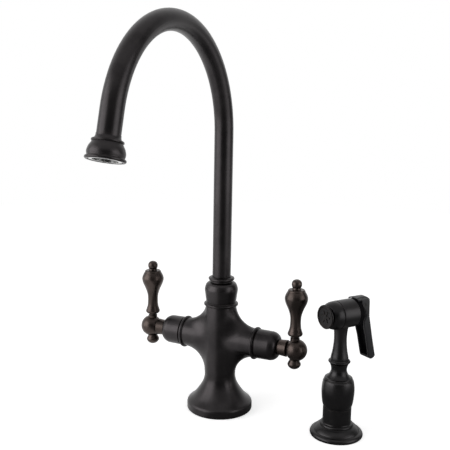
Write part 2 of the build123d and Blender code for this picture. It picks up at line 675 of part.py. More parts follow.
def aerator_washer():
    """Rubber washer between the bell's shoulder and the aerator."""
    return ring(9.4, AERATOR_THREAD_R - 0.1, AERATOR_TOP, AERATOR_SHOULDER)


# ---- sprayer's holder --------------------------------------------------------------------------
def holder():
    """Deck holder: stepped flange with two fine lines and a plain cylinder."""
    gasket = HOLDER_GASKET_R + SLIP
    lip = [(FLANGE_R - 0.8, 0), (FLANGE_R, 1.6), (FLANGE_R - 0.4, 3.2), (FLANGE_R - 1.7, 4.6)]
    dome = [(FLANGE_R - 4.2, 6.1), (FLANGE_R - 6.4, 8.6), (FLANGE_R - 9.3, 10.4)]
    ledge = [(HOLDER_R + 2.6, 10.9), (HOLDER_R + 2.4, 12.4), (HOLDER_R + 1.3, 13.4)]
    return turned([(gasket, 0), (FLANGE_R - 0.8, 0)], lip,
                  [(FLANGE_R - 3.5, 5.2), (FLANGE_R - 3.9, 5.5)], dome,
                  [(HOLDER_R + 3.2, 10.6), (HOLDER_R + 2.6, 10.9)], ledge,
                  [(HOLDER_R + 0.3, 13.6), (HOLDER_R, 14.4)],
                  [(HOLDER_R, HOLDER_TOP)], [(HOLDER_BORE_R, HOLDER_TOP)],
                  [(HOLDER_BORE_R, HOLDER_GASKET_T)], [(gasket, HOLDER_GASKET_T)])


def holder_liner():
    """Plastic guide inside the holder."""
    return ring(HOLDER_BORE_R - LINER_T, HOLDER_BORE_R, LINER_LOW, HOLDER_TOP - 0.1)


# ---- hand sprayer ------------------------------------------------------------------------------
def hose_coupling():
    """Where the hose ends: a threaded nut that swivels in the grip's tail."""
    low, shoulder = LINER_LOW + GAP, TAIL_END - 0.2
    stub = COUPLING_SOCKET_R - SLIP
    thread_end = low + HOSE_THREAD
    return turned([(HOSE_R, low), (9.0, low)], [(9.6, low + 0.6), (9.6, shoulder)],
                  [(stub, shoulder), (stub, SOCKET_TOP - WASHER_T - 0.1)],
                  [(WATER_R, SOCKET_TOP - WASHER_T - 0.1), (WATER_R, thread_end)],
                  [(HOSE_R, thread_end), (HOSE_R, low)])


def grip():
    """Vase-shaped grip with its tail in the holder and a bead at the shoulder."""
    foot = HOLDER_R - 0.1
    rise = GRIP_TOP - SHOULDER_Z
    vase_shape = [(0.920, 0.088), (0.958, 0.169), (0.991, 0.296), (1.0, 0.4125), (0.979, 0.508),
                  (0.951, 0.572), (0.915, 0.617), (0.858, 0.645)]
    bead_shape = [(0.848, 0.649), (0.852, 0.668), (0.785, 0.684)]
    shoulder_shape = [(0.742, 0.690), (0.698, 0.704), (0.653, 0.720), (0.555, 0.7667), (0.499, 0.8133),
                      (0.478, 0.8685), (0.504, 0.932), (0.573, 1.0)]
    vase = [(foot, SHOULDER_Z + 1.4)] + [(GRIP_R * r, SHOULDER_Z + rise * t) for r, t in vase_shape]
    bead = [(GRIP_R * r, SHOULDER_Z + rise * t) for r, t in bead_shape]
    shoulder = [(GRIP_R * r, SHOULDER_Z + rise * t) for r, t in shoulder_shape]
    return turned([(COUPLING_SOCKET_R, TAIL_END), (TAIL_R, TAIL_END)],
                  [(TAIL_R, TAIL_END), (TAIL_R, SHOULDER_Z)],
                  [(foot, SHOULDER_Z), (foot, SHOULDER_Z + 1.4)], vase, bead, shoulder,
                  [(STUB_R + THREAD, GRIP_TOP), (STUB_R + THREAD, STUB_LOW - 0.3)],
                  [(WATER_R + 0.8, STUB_LOW - 0.3), (WATER_R + 0.8, SOCKET_TOP)],
                  [(COUPLING_SOCKET_R, SOCKET_TOP), (COUPLING_SOCKET_R, TAIL_END)])


def grip_ferrule():
    """Ring bead between the grip and the neck."""
    rise = FERRULE_TOP - GRIP_TOP
    bead = [(FERRULE_R - 1.3, GRIP_TOP + 0.30 * rise), (FERRULE_R, GRIP_TOP + 0.55 * rise),
            (FERRULE_R - 1.4, GRIP_TOP + 0.79 * rise)]
    return turned([(STUB_R + THREAD, GRIP_TOP), (FERRULE_R - 2.9, GRIP_TOP)], bead,
                  [(FERRULE_R - 2.1, FERRULE_TOP), (STUB_R + THREAD, FERRULE_TOP)])


def sprayer_neck():
    """Slim neck, screwed into the grip and set into the head."""
    rise = HEAD_Z - FERRULE_TOP
    shape = [(1.364, 0), (1.379, 0.038), (1.288, 0.106), (1.167, 0.187), (1.068, 0.293), (1.0, 0.4055),
             (1.0, 0.5117), (1.045, 0.618), (1.121, 0.692), (1.242, 0.777)]
    side = [(NECK_TUBE_R * r, FERRULE_TOP + rise * t) for r, t in shape]
    tube = turned([(0, STUB_LOW), (STUB_R, STUB_LOW)], [(STUB_R, STUB_LOW), (STUB_R, FERRULE_TOP)],
                  side, [(0, side[-1][1])])
    tube -= Pos(0, 0, HEAD_Z) * Rot(90, 0, 0) * Cylinder(HEAD_R + 0.01, THROUGH)
    tube += rod(STUB_R - 0.6, HEAD_Z - HEAD_R - 3, HEAD_Z - HEAD_R + 3.6)
    return tube - rod(WATER_R, STUB_LOW - 1, HEAD_Z)


def head_body():
    """Body of the head with the valve chamber, its seat and the nozzle's spigot."""
    edge = 0.4
    shape = turned([(0, HEAD_BACK), (HEAD_R - edge, HEAD_BACK)],
                   [(HEAD_R, HEAD_BACK + edge), (HEAD_R, HEAD_FRONT - edge)],
                   [(HEAD_R - edge, HEAD_FRONT), (NOZZLE_SPIGOT_R, HEAD_FRONT)],
                   [(NOZZLE_SPIGOT_R, NOZZLE_SPIGOT_END), (0, NOZZLE_SPIGOT_END)])
    shape -= rod(CHAMBER_BORE_R, HEAD_BACK - 1, SEAT_BACK)
    shape -= rod(PLUNGER_R + 1.0, SEAT_BACK - 1, SEAT_FRONT + 1)
    shape -= rod(NOZZLE_BORE_R, SEAT_FRONT, NOZZLE_SPIGOT_END + 1)
    shape = on_head(shape)
    return shape - on_sprayer(rod(STUB_R - 0.55, HEAD_Z - HEAD_R - 2, HEAD_Z))


def nozzle_ring():
    """Front sleeve of the head with a rounded nose."""
    low, high = HEAD_FRONT + 0.05, NOZZLE_FRONT
    crown = [(HEAD_R - 0.3, low + 0.4), (HEAD_R - 0.1, low + 3.0), (RING_FRONT_R, high - RING_NOSE),
             (RING_FRONT_R - 1.0, high - 0.48 * RING_NOSE), (RING_FRONT_R - 2.1, high - 0.14 * RING_NOSE)]
    bore = NOZZLE_SPIGOT_R + THREAD
    return turned([(bore, low), (HEAD_R - 0.7, low)], crown,
                  [(RING_FRONT_R - 3.0, high), (NOZZLE_BORE_R, high)],
                  [(NOZZLE_BORE_R, NOZZLE_SPIGOT_END + 0.1), (bore, NOZZLE_SPIGOT_END + 0.1)])


def spray_face():
    """Face plate with a raised rim, a raised star and rings of spray holes."""
    back = NOZZLE_FRONT + FACE_GAP
    floor = FACE_FRONT - 0.9
    plate = turned([(0, back), (FACE_R - 0.5, back)], [(FACE_R, back + 0.5), (FACE_R, FACE_FRONT - 0.7)],
                   [(FACE_R - 0.7, FACE_FRONT), (FACE_R - 1.9, FACE_FRONT)],
                   [(FACE_R - 2.4, floor), (0, floor)])
    plate += rod(NOZZLE_BORE_R - THREAD, NOZZLE_SPIGOT_END + 3.2, back + 0.2)
    plate -= rod(NOZZLE_BORE_R - 2.0, NOZZLE_SPIGOT_END + 3, back)
    plate = hole_circle(plate, 8.3, 18, JET_R)
    for turn in range(STAR_BARS):
        bar = Box(STAR_LENGTH, STAR_WIDTH, STAR_RISE)
        plate += Pos(0, 0, floor) * Rot(0, 0, 180 / STAR_BARS * turn) * bar
    for spot in PolarLocations(4.6, 6, start_angle=90 / STAR_BARS):
        plate -= spot * Cylinder(JET_R, THROUGH)
    return on_head(plate)


def valve_cap():
    """Dark cap behind the head: guides the plunger and carries the trigger's ear."""
    edge = 0.8
    outer = HEAD_R - 0.15
    spigot = CHAMBER_BORE_R - THREAD
    front = HEAD_BACK - THREAD
    shape = turned([(0, CAP_BACK), (outer - edge, CAP_BACK)], [(outer, CAP_BACK + edge), (outer, front)],
                   [(spigot, front), (spigot, HEAD_BACK + 4.5)], [(0, HEAD_BACK + 4.5)])
    shape -= rod(PLUNGER_R + RUN, CAP_BACK - 1, HEAD_BACK + 6)
    shape = on_head(shape)
    half = LEVER_HALF - TRIGGER_WALL - 0.2
    boss = 3.9
    ear = Pos(0, -PIN_BACK, PIN_Z) * Rot(0, 90, 0) * Cylinder(boss, 2 * half)
    reach = CAP_BACK - PIN_BACK + 1.0
    ear += Pos(0, -PIN_BACK - reach / 2, PIN_Z) * Box(2 * half, reach, 2 * boss)
    ear -= Pos(0, -PIN_BACK, PIN_Z) * Rot(0, 90, 0) * Cylinder(PIN_R, 4 * half)
    return shape + on_sprayer(ear)


# ---- trigger and valve -------------------------------------------------------------------------
def closed(points):
    """Face with straight edges through all the points."""
    return outline(*[[p, q] for p, q in zip(points, points[1:] + points[:1])])


def side_slab(points, half):
    """Slab across the sprayer from (back, height) points."""
    return extrude(Plane.YZ * closed(points), half, both=True)


def taper(top_half, tip_half):
    """Front view that narrows towards the trigger's tip."""
    high, bend, low = HEAD_Z + 2 * HEAD_R, HEAD_Z - 0.16 * TRIGGER_DROP, HEAD_Z - 1.05 * TRIGGER_DROP
    points = [(-top_half, high), (-top_half, bend), (-tip_half, low), (tip_half, low), (top_half, bend),
              (top_half, high)]
    return extrude(Plane.XZ * closed(points), THROUGH, both=True)


def hanging(points):
    """Side points of the trigger from fractions of its drop and depths in front of its web."""
    places = []
    for down, depth in points:
        web = WEB_BACK + (TRIGGER_REACH - WEB_BACK) * (down - 0.06) / 0.88
        places.append((web - depth, HEAD_Z - TRIGGER_DROP * down))
    return places


def trigger():
    """Thumb lever: channel that starts over the head and hangs down behind it."""
    top = HEAD_Z + HEAD_R
    front = -CAP_BACK - 4.3
    side = -CAP_BACK + CAP_CLEAR
    outer = [(front, top + 0.9), (WEB_BACK - 3.0, top + 1.9), (WEB_BACK - 1.2, top + 0.6),
             (WEB_BACK - 0.2, top - 3.0)]
    outer += hanging([(0.087, 0), (0.549, 0.3), (0.942, 0), (0.972, 1.6), (0.992, 3.8), (1.0, 5.9),
                      (0.987, 7.7), (0.950, 8.6), (0.539, 8.2), (0.272, 9.0)])
    outer += [(side + 4.8, HEAD_Z - 9.5), (side + 7.0, HEAD_Z - 5.5), (side + 7.4, HEAD_Z - 1.5),
              (side + 5.0, HEAD_Z + 2.5), (side + 1.2, HEAD_Z + 6.0), (side, top - 4.5),
              (side, top - 1.5), (front, top - 1.5)]
    shape = side_slab(outer, LEVER_HALF) & taper(LEVER_HALF, LEVER_TIP_HALF)
    dome = Pos(0, 0, HEAD_Z) * Rot(90, 0, 0) * Cylinder(HEAD_R + 1.6, 2 * THROUGH)
    shape &= dome + Pos(0, 0, HEAD_Z - THROUGH / 2) * Box(THROUGH, 2 * THROUGH, THROUGH)
    inner_half = LEVER_HALF - TRIGGER_WALL
    inner = [(0, top + 0.35), (WEB_BACK - 3.4, top + 0.35), (WEB_BACK - 2.0, top - 1.2)]
    inner += hanging([(0.083, TRIGGER_WALL), (0.555, TRIGGER_WALL + 0.3), (0.925, TRIGGER_WALL),
                      (0.952, TRIGGER_WALL + 1.7), (0.958, 5.0), (0.935, 6.0)])
    inner += [(0, HEAD_Z - 0.935 * TRIGGER_DROP)]
    shape -= side_slab(inner, inner_half) & taper(inner_half, LEVER_TIP_HALF - TRIGGER_WALL)
    reach = -CAP_BACK + 0.9 * CAP_CLEAR
    shape -= Pos(0, reach / 2, HEAD_Z) * Rot(90, 0, 0) * Cylinder(HEAD_R + GAP, reach)
    shape -= Pos(0, -PIN_BACK, PIN_Z) * Rot(0, 90, 0) * Cylinder(PIN_R + RUN, THROUGH)
    return on_sprayer(shape)


def trigger_pin():
    """Pin through the ear and the trigger's two sides."""
    return on_sprayer(Pos(0, -PIN_BACK, PIN_Z) * Rot(0, 90, 0) * Cylinder(PIN_R, 2 * LEVER_HALF - 0.3))


def valve_plunger():
    """Plunger: rounded end behind, spring collar, and the valve plate in front of the seat."""
    shaft = turned([(0, PLUNGER_BACK), (0.8, PLUNGER_BACK + 0.15), (PLUNGER_R, PLUNGER_BACK + 1.0)],
                   [(PLUNGER_R, SEAL_FRONT + 1.4), (0, SEAL_FRONT + 1.4)])
    shaft += rod(4.2, SPRING_STOP - 1.2, SPRING_STOP)
    shaft += rod(PLATE_R, SEAL_FRONT, SEAL_FRONT + 1.5)
    return on_head(shaft)


def plunger_seal():
    """Rubber ring between the valve plate and the seat."""
    return on_head(ring(PLUNGER_R, PLATE_R - 0.2, SEAT_FRONT + SEAT, SEAL_FRONT))


def plunger_spring():
    """Spring that pushes the plunger back and closes the valve, at its pressed length."""
    return on_head(coil(3.2, SPRING_WIRE, SPRING_STOP + PLUNGER_STROKE + 0.1, SEAT_BACK - 0.05, 5))


# ---- build -------------------------------------------------------------------------------------
def main():
    """Write every node."""
    save("faucet_body", faucet_body())
    save("base_gasket", base_gasket())
    for side, name in ((-1, "left"), (1, "right")):
        arm_pieces(side, name)
        handle_pieces(side, name)
    save("diverter_housing", diverter_housing())
    save("diverter_piston", diverter_piston())
    save("diverter_spring", diverter_spring())
    save("slip_washer", slip_washer())
    save("friction_bushing", friction_bushing())
    save("spout_adapter", spout_adapter())
    save("spout_orings", spout_orings())
    save("spout_collar", spout_collar())
    save("spout_tube", spout_tube())
    save("outlet_bell", on_tip(outlet_bell()))
    save("aerator_housing", on_tip(aerator_housing()))
    save("aerator_screen", on_tip(aerator_screen()))
    save("flow_disc", on_tip(flow_disc()))
    save("aerator_washer", on_tip(aerator_washer()))
    save("holder", on_sprayer(holder()))
    gasket = ring(HOLDER_BORE_R + 0.5, HOLDER_GASKET_R, 0, HOLDER_GASKET_T)
    save("holder_gasket", on_sprayer(gasket))
    save("holder_liner", on_sprayer(holder_liner()))
    washer_low = SOCKET_TOP - WASHER_T - 0.1
    coupling_washer = ring(WATER_R + 0.2, COUPLING_SOCKET_R - 0.2, washer_low, washer_low + WASHER_T)
    save("hose_coupling", on_sprayer(hose_coupling()))
    save("coupling_washer", on_sprayer(coupling_washer))
    save("grip", on_sprayer(grip()))
    save("grip_ferrule", on_sprayer(grip_ferrule()))
    save("sprayer_neck", on_sprayer(sprayer_neck()))
    save("head_body", head_body())
    save("nozzle_ring", on_head(nozzle_ring()))
    save("spray_face", spray_face())
    save("valve_cap", valve_cap())
    save("trigger", trigger())
    save("trigger_pin", trigger_pin())
    save("valve_plunger", valve_plunger())
    save("plunger_seal", plunger_seal())
    save("plunger_spring", plunger_spring())


main()
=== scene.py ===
"""Looks of a two handle kitchen faucet with a side sprayer: finishes, studio and camera."""
import logging
import math
from dataclasses import dataclass, field
from enum import Enum

import bmesh
import bpy
from mathutils import Matrix, Vector


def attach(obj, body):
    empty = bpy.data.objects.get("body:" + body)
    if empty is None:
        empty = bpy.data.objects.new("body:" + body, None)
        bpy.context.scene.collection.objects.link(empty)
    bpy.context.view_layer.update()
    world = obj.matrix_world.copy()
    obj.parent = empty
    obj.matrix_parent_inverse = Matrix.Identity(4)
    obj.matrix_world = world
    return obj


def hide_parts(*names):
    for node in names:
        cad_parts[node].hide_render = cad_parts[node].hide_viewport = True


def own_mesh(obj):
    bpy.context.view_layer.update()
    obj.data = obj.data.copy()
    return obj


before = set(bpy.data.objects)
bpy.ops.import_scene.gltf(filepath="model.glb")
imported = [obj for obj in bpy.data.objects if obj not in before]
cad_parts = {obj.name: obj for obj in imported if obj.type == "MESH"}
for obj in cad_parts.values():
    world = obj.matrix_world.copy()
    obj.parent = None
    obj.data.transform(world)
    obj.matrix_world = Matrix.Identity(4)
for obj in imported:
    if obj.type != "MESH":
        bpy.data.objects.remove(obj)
log = logging.getLogger("faucet")

MM = 0.001
UP = Vector((0.0, 0.0, 1.0))

Colour = tuple[float, float, float]
Socket = bpy.types.NodeSocket
Value = float | Colour | Socket

WHITE: Colour = (1.0, 1.0, 1.0)
NOISE_BAND = (0.3, 0.7)  # nearly all values of a noise lie in it


class Side(Enum):
    """The two sides of the faucet, as the user sees them."""

    LEFT = "left"
    RIGHT = "right"


class Look(Enum):
    """The finishes, by the names of their materials."""

    BRONZE = "bronze"
    BRONZE_HANDLE = "bronze_handle"
    BRONZE_SPRAYER = "bronze_sprayer"
    BRONZE_FACE = "bronze_face"
    BRASS = "raw_brass"
    STEEL = "steel"
    BLACKENED = "blackened"
    RUBBER = "rubber"
    CERAMIC = "ceramic"
    BLACK_PLASTIC = "black_plastic"
    TRIGGER_BLACK = "trigger_black"
    CAP_BLACK = "cap_black"
    WHITE_PLASTIC = "white_plastic"


class Ramp(Enum):
    """How a value moves between two limits."""

    LINEAR = "LINEAR"
    SMOOTH = "SMOOTHSTEP"


class Sum(Enum):
    """How two values become one."""

    PLUS = "ADD"
    MINUS = "SUBTRACT"
    TIMES = "MULTIPLY"
    GREATER = "MAXIMUM"


@dataclass(frozen=True)
class Span:
    """A stretch of one value, and the stretch of another that it turns into."""

    low: float
    high: float
    to_low: float = 0.0
    to_high: float = 1.0
    ramp: Ramp = Ramp.LINEAR


# ---- shader nodes ---------------------------------------------------------------------------
class Wiring:
    """A node tree, whose nodes are added and linked in a few words."""

    def __init__(self, tree: bpy.types.NodeTree, output: str, coordinates: str) -> None:
        """Empty the tree and give it its output and coordinates.

        Args:
            tree: the node tree.
            output: type name of its output node.
            coordinates: the coordinates that its patterns read.
        """
        self.tree = tree
        self.tree.nodes.clear()
        self.output = self.add(output)
        self.place = self.add("ShaderNodeTexCoord").outputs[coordinates]

    def add(self, kind: str, **settings: object) -> bpy.types.Node:
        """Add a node.

        Args:
            kind: type name of the node.
            **settings: properties of the node itself.

        Returns:
            The new node.
        """
        node = self.tree.nodes.new(kind)
        for key, value in settings.items():
            setattr(node, key, value)
        return node

    def put(self, socket: Socket, value: Value) -> None:
        """Set or link one input.

        Args:
            socket: the input.
            value: what goes into it.
        """
        if isinstance(value, Socket):
            self.tree.links.new(value, socket)
        elif socket.type == "RGBA":
            socket.default_value = (*value, 1.0)
        else:
            socket.default_value = value

    def feed(self, node: bpy.types.Node, **values: Value) -> bpy.types.Node:
        """Set or link a node's inputs by name, with underscores for spaces.

        Args:
            node: the node that gets the values.
            **values: what goes into each input.

        Returns:
            The same node.
        """
        for key, value in values.items():
            self.put(node.inputs[key.replace("_", " ")], value)
        return node

    def close(self, socket: Socket) -> None:
        """Link the last node to the output."""
        self.tree.links.new(socket, self.output.inputs["Surface"])

    def combine(self, how: Sum, first: Value, second: Value) -> Socket:
        """Turn two values into one between zero and one.

        Args:
            how: what is done with them.
            first: first value.
            second: second value.

        Returns:
            The result's socket.
        """
        node = self.add("ShaderNodeMath", operation=how.value, use_clamp=True)
        self.put(node.inputs[0], first)
        self.put(node.inputs[1], second)
        return node.outputs[0]

    def spread(self, value: Socket, span: Span) -> Socket:
        """Spread one stretch of a value over another.

        Args:
            value: the incoming value.
            span: both stretches.

        Returns:
            The new value's socket.
        """
        node = self.add("ShaderNodeMapRange", interpolation_type=span.ramp.value)
        self.feed(node, Value=value, From_Min=span.low, From_Max=span.high,
                  To_Min=span.to_low, To_Max=span.to_high)
        return node.outputs["Result"]

    def share(self, amount: Value, first: Value, second: Value) -> Socket:
        """Go from one number to another.

        Args:
            amount: share of the second number.
            first: a number.
            second: a number.

        Returns:
            The number's socket.
        """
        node = self.add("ShaderNodeMix")
        self.put(node.inputs["Factor"], amount)
        self.put(node.inputs[2], first)
        self.put(node.inputs[3], second)
        return node.outputs[0]

    def along(self, place: Socket, way: Vector) -> Socket:
        """Measure how far a place lies along a direction.

        Args:
            place: the place.
            way: the direction.

        Returns:
            The distance's socket.
        """
        dot = self.add("ShaderNodeVectorMath", operation="DOT_PRODUCT")
        self.put(dot.inputs[0], place)
        dot.inputs[1].default_value = way
        return dot.outputs["Value"]


class Recipe(Wiring):
    """A material's nodes, with the patterns that the finishes share."""

    def __init__(self, name: str) -> None:
        """Start a material.

        Args:
            name: name of the material.
        """
        self.material = bpy.data.materials.new(name)
        self.material.use_nodes = True
        super().__init__(self.material.node_tree, "ShaderNodeOutputMaterial", "Object")

    def noise(self, scale: float, detail: float = 3.0, roughness: float = 0.5,
              distortion: float = 0.0) -> Socket:
        """Make noise on the piece's own coordinates.

        Args:
            scale: waves per metre.
            detail: octaves.
            roughness: weight of the fine octaves.
            distortion: how far the pattern is pulled about.

        Returns:
            The noise's factor.
        """
        node = self.add("ShaderNodeTexNoise")
        self.feed(node, Vector=self.place, Scale=scale, Detail=detail, Roughness=roughness,
                  Distortion=distortion)
        return node.outputs["Fac"]

    def uneven(self, pattern: Socket, middle: float, less: float, more: float) -> Socket:
        """Make a roughness that follows a pattern.

        Args:
            pattern: noise that it follows.
            middle: usual roughness.
            less: how far it falls below that.
            more: how far it rises above that.

        Returns:
            The roughness's socket.
        """
        return self.spread(pattern, Span(*NOISE_BAND, middle - less, middle + more))

    def blend(self, amount: Value, first: Value, second: Value) -> Socket:
        """Blend two colours.

        Args:
            amount: share of the second colour.
            first: a colour.
            second: a colour.

        Returns:
            The blended colour's socket.
        """
        node = self.add("ShaderNodeMix", data_type="RGBA")
        self.put(node.inputs["Factor"], amount)
        self.put(node.inputs[6], first)
        self.put(node.inputs[7], second)
        return node.outputs[2]

    def rounded(self, radius: float) -> Socket:
        """Give normals that round every sharp edge, with a radius in millimetres."""
        bevel = self.add("ShaderNodeBevel", samples=4)
        return self.feed(bevel, Radius=radius * MM).outputs["Normal"]

    def edges(self, reach: float, gain: float) -> Socket:
        """Mask that is one along the edges and zero on the open surface.

        Args:
            reach: how far the mask reaches from an edge, in millimetres.
            gain: how fast it fills.

        Returns:
            The mask's socket.
        """
        dot = self.add("ShaderNodeVectorMath", operation="DOT_PRODUCT")
        self.put(dot.inputs[0], self.rounded(reach))
        self.put(dot.inputs[1], self.add("ShaderNodeNewGeometry").outputs["Normal"])
        turned = self.combine(Sum.MINUS, 1.0, dot.outputs["Value"])
        return self.combine(Sum.TIMES, turned, gain)

    def openness(self, reach: float) -> Socket:
        """Give one on open surfaces and less in grooves; the reach is in millimetres."""
        node = self.add("ShaderNodeAmbientOcclusion", samples=6, only_local=False)
        return self.feed(node, Distance=reach * MM).outputs["AO"]

    def relief(self, height: Socket, depth: float, strength: float,
               normal: Socket | None = None) -> Socket:
        """Lay a relief over a surface.

        Args:
            height: height of the relief.
            depth: its depth in millimetres.
            strength: share of it that shows.
            normal: normal that it starts from, if not the surface's own.

        Returns:
            The new normal's socket.
        """
        node = self.add("ShaderNodeBump")
        self.feed(node, Height=height, Distance=depth * MM, Strength=strength)
        if normal is not None:
            self.put(node.inputs["Normal"], normal)
        return node.outputs["Normal"]

    def surface(self, **values: Value) -> bpy.types.Material:
        """Close the material with one shader for its whole surface.

        Args:
            **values: its inputs by name.

        Returns:
            The finished material.
        """
        self.close(self.feed(self.add("ShaderNodeBsdfPrincipled"), **values).outputs["BSDF"])
        return self.material


# ---- finishes, with scales in waves per metre and lengths in millimetres --------------------
@dataclass(frozen=True)
class Finish:
    """A finish that can be made into a material."""

    look: Look

    def make(self) -> bpy.types.Material:
        """Build the material."""
        raise NotImplementedError


@dataclass(frozen=True)
class RubbedBronze(Finish):
    """Oil-rubbed bronze: a dark patina, rubbed a little brighter along its edges."""

    deep: Colour = (0.034, 0.0312, 0.0322)
    warm: Colour = (0.051, 0.0468, 0.0482)
    rubbed: Colour = (0.13, 0.09, 0.07)
    # colour of the painted shade that darkens grooves and recesses
    painted_groove_shade: Colour = (0.012, 0.011, 0.011)
    rough_low: float = 0.30
    rough_high: float = 0.40
    rub: float = 0.35
    cloud_scale: float = 34.0
    fleck_scale: float = 520.0
    grain_scale: float = 2600.0
    cloud_weight: float = 0.6
    fleck_weight: float = 0.4
    patina: Span = Span(0.33, 0.68, ramp=Ramp.SMOOTH)
    specks: Span = Span(0.56, 0.80, to_high=0.35)
    patches: Span = Span(0.36, 0.62, to_low=0.35)
    # how much painted shade a place gets, from how enclosed it is
    painted_shade_share: Span = Span(0.25, 0.75, 0.75, 0.0, Ramp.SMOOTH)
    handled: tuple[float, float] = (0.55, 0.95)
    mottled: tuple[float, float] = (0.35, 0.65)
    groove_reach: float = 5.0
    worn_reach: float = 0.7
    worn_gain: float = 4.0
    rounding: float = 0.35
    grain_depth: float = 0.05
    cloud_depth: float = 0.6
    strength: float = 0.10

    def make(self) -> bpy.types.Material:
        """Build a cloudy patina with a satin grain, rubbed edges and painted shade in the grooves.
        """
        mix = Recipe(self.look.value)
        cloud = mix.noise(self.cloud_scale, detail=5.0, roughness=0.58, distortion=0.35)
        fleck = mix.noise(self.fleck_scale, detail=3.0, roughness=0.62)
        grain = mix.noise(self.grain_scale, detail=2.0)
        openness = mix.openness(self.groove_reach)
        worn = mix.combine(Sum.TIMES, mix.edges(self.worn_reach, self.worn_gain),
                           mix.spread(cloud, self.patches))
        handled = mix.spread(openness, Span(*self.handled, to_high=self.rub))
        worn = mix.combine(Sum.TIMES, worn, handled)
        colour = mix.blend(mix.spread(cloud, self.patina), self.deep, self.warm)
        colour = mix.blend(mix.spread(fleck, self.specks), colour, self.deep)
        colour = mix.blend(worn, colour, self.rubbed)
        # painted shade: the colour darkens where the surface is enclosed by grooves and recesses
        colour = mix.blend(mix.spread(openness, self.painted_shade_share), colour, self.painted_groove_shade)
        mottle = mix.combine(Sum.PLUS, mix.combine(Sum.TIMES, cloud, self.cloud_weight),
                             mix.combine(Sum.TIMES, fleck, self.fleck_weight))
        rough = mix.spread(mottle, Span(*self.mottled, self.rough_low, self.rough_high))
        satin = mix.relief(grain, self.grain_depth, self.strength, mix.rounded(self.rounding))
        skin = mix.relief(cloud, self.cloud_depth, self.strength, satin)
        return mix.surface(Base_Color=colour, Metallic=1.0, Roughness=rough, Normal=skin)


@dataclass(frozen=True)
class MachinedMetal(Finish):
    """Bare machined metal with fine tool marks and a little tarnish."""

    bright: Colour = (0.62, 0.50, 0.28)
    dull: Colour = (0.45, 0.34, 0.18)
    rough: float = 0.26
    rough_less: float = 0.06
    rough_more: float = 0.10
    tarnish_scale: float = 70.0
    mark_scale: float = 1800.0
    tarnish: Span = Span(0.35, 0.7, to_high=0.8, ramp=Ramp.SMOOTH)
    rounding: float = 0.2
    mark_depth: float = 0.03
    strength: float = 0.12

    def make(self) -> bpy.types.Material:
        """Build fine marks, a little tarnish and slightly rounded edges."""
        mix = Recipe(self.look.value)
        stains = mix.noise(self.tarnish_scale, detail=4.0, roughness=0.6)
        marks = mix.noise(self.mark_scale, detail=2.0)
        colour = mix.blend(mix.spread(stains, self.tarnish), self.bright, self.dull)
        rough = mix.uneven(marks, self.rough, self.rough_less, self.rough_more)
        normal = mix.relief(marks, self.mark_depth, self.strength, mix.rounded(self.rounding))
        return mix.surface(Base_Color=colour, Metallic=1.0, Roughness=rough, Normal=normal)


@dataclass(frozen=True)
class Moulded(Finish):
    """Moulded plastic or rubber with a fine grained skin."""

    colour: Colour
    shade: Colour
    rough: float
    gloss: float = 0.5
    rounding: float = 0.3
    rough_less: float = 0.06
    rough_more: float = 0.08
    blotch_scale: float = 90.0
    grain_scale: float = 1500.0
    blotches: Span = Span(0.35, 0.7)
    polish: float = 0.10
    polish_reach: float = 0.6
    polish_gain: float = 3.0
    grain_depth: float = 0.06
    strength: float = 0.14

    def make(self) -> bpy.types.Material:
        """Build a grain, faint blotches and edges polished by handling."""
        mix = Recipe(self.look.value)
        blotch = mix.noise(self.blotch_scale, detail=4.0, roughness=0.55)
        grain = mix.noise(self.grain_scale, detail=3.0, roughness=0.6)
        colour = mix.blend(mix.spread(blotch, self.blotches), self.colour, self.shade)
        rough = mix.uneven(grain, self.rough, self.rough_less, self.rough_more)
        edges = mix.edges(self.polish_reach, self.polish_gain)
        rough = mix.combine(Sum.MINUS, rough, mix.combine(Sum.TIMES, edges, self.polish))
        normal = mix.relief(grain, self.grain_depth, self.strength, mix.rounded(self.rounding))
        return mix.surface(Base_Color=colour, Roughness=rough, Normal=normal,
                           Specular_IOR_Level=self.gloss)


@dataclass(frozen=True)
class Lapped(Finish):
    """Lapped technical ceramic."""

    colour: Colour = (0.82, 0.80, 0.76)
    shade: Colour = (0.72, 0.69, 0.64)
    speckle_scale: float = 2400.0
    haze_scale: float = 300.0
    speckles: Span = Span(0.45, 0.75, to_high=0.6)
    rough: Span = Span(*NOISE_BAND, 0.14, 0.24)
    speckle_depth: float = 0.02
    strength: float = 0.1

    def make(self) -> bpy.types.Material:
        """Build a pale body with a very fine speckle and a smooth face."""
        mix = Recipe(self.look.value)
        speckle = mix.noise(self.speckle_scale, detail=2.0, roughness=0.6)
        colour = mix.blend(mix.spread(speckle, self.speckles), self.colour, self.shade)
        rough = mix.spread(mix.noise(self.haze_scale), self.rough)
        normal = mix.relief(speckle, self.speckle_depth, self.strength)
        return mix.surface(Base_Color=colour, Roughness=rough, Normal=normal)


